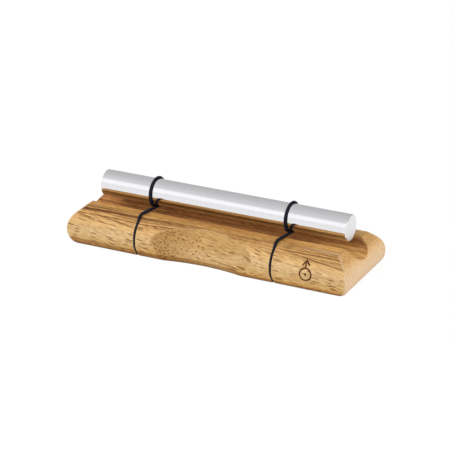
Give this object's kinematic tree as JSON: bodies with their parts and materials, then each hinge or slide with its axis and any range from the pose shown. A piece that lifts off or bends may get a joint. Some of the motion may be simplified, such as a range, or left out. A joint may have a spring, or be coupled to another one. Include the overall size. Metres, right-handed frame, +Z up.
{
  "type": "energy chime",
  "caption": "Polished aluminium rod hung in wraps of black cord over a grooved hardwood base with rounded sides and finger scoops; it rings when it is struck.",
  "frame": {"origin": "middle of the underside of the base, on the surface that it stands on", "axes": "+X along the rod, towards the end with the engraved sign; +Z up; the front, with the sign, faces -Y"},
  "size_m": [0.148, 0.046, 0.0334],
  "materials": {
    "hardwood": "oiled, fine sanded",
    "polished_aluminium": "polished",
    "black_cord": "twisted, matt"
  },
  "bodies": {
    "base": {"wooden_base": "hardwood", "left_cord_front_span": "black_cord", "left_cord_rear_span": "black_cord", "left_cord_front_stretch": "black_cord", "left_cord_rear_stretch": "black_cord", "left_cord_kerf_run": "black_cord", "right_cord_front_span": "black_cord", "right_cord_rear_span": "black_cord", "right_cord_front_stretch": "black_cord", "right_cord_rear_stretch": "black_cord", "right_cord_kerf_run": "black_cord"},
    "slings": {"left_cord_wrap": "black_cord", "right_cord_wrap": "black_cord"},
    "rod": {"chime_rod": "polished_aluminium"}
  },
  "joints": [
    {"name": "rod_bounce", "type": "slide", "parent": "base", "child": "slings", "axis": [0, 0, 1], "range_m": [-0.005, 0.004], "stiffness_N_per_m": 800, "springref_m": 0.00057, "deforming": ["left_cord_front_span", "left_cord_rear_span", "right_cord_front_span", "right_cord_rear_span"]},
    {"name": "rod_spin", "type": "hinge", "parent": "slings", "child": "rod", "pos_m": [0.001, 0, 0.0252], "axis": [1, 0, 0], "continuous": true}
  ]
}
